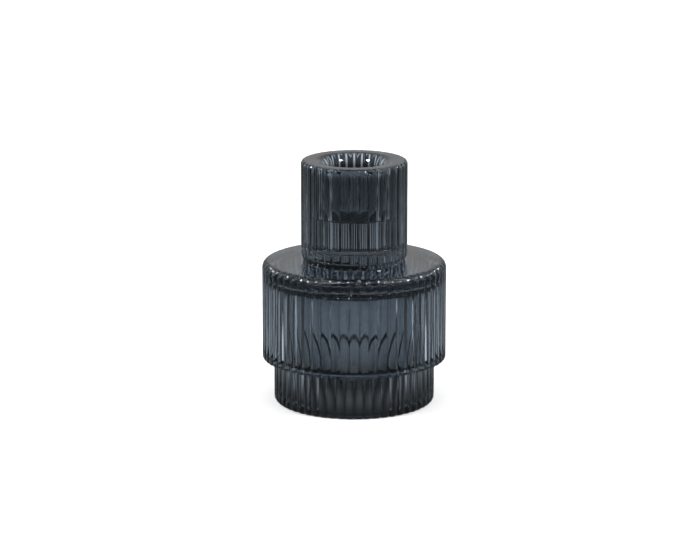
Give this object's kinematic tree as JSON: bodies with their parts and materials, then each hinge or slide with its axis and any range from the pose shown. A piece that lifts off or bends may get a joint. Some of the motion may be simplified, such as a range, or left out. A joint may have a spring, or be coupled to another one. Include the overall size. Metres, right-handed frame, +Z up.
{
  "type": "glass candlestick",
  "caption": "Stepped round candlestick of ribbed smoke-grey glass: a narrow cup with a bore for a taper candle on a wide hollow drum with a flat shoulder, on a ring foot.",
  "frame": {"origin": "centre of the circle that the foot stands on", "axes": "+Z up along the common axis of the three tiers, towards the candle bore; one rib crest of each tier lies on +X"},
  "size_m": [0.075, 0.075, 0.1],
  "materials": {
    "smoked_glass": "pressed and fire-polished, smoke grey with a blue cast",
    "clear_adhesive": "clear cured acrylic glass adhesive"
  },
  "bodies": {
    "root": {"candle_cup": "smoked_glass", "cup_bond": "clear_adhesive", "drum": "smoked_glass", "foot_bond": "clear_adhesive", "foot": "smoked_glass"}
  },
  "joints": []
}
